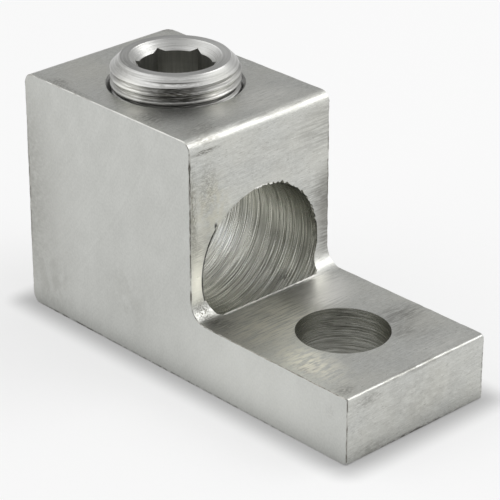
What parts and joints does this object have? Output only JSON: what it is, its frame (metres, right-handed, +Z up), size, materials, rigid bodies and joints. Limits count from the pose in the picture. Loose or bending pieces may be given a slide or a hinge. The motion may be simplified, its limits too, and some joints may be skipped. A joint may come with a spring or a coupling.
{
  "type": "mechanical lug",
  "caption": "Aluminium mechanical lug: a tall block with a round wire bore, a flat tang with a stud hole, and a hex socket set screw that clamps the conductor.",
  "frame": {"origin": "where the stud hole's axis meets the flat underside", "axes": "+X along the tang towards its tip, +Y across the width, +Z up out of the stud hole and the set screw's hole"},
  "size_m": [0.0668, 0.027, 0.0413],
  "materials": {
    "extruded_body": "satin, sawn and brushed",
    "turned_screw": "turned"
  },
  "bodies": {
    "lug": {"lug_body": "extruded_body"},
    "screw": {"set_screw": "turned_screw"}
  },
  "joints": [
    {"name": "set_screw_travel", "type": "slide", "parent": "lug", "child": "screw", "axis": [0, 0, 1], "range_m": [-0.0087, 0.007]}
  ]
}
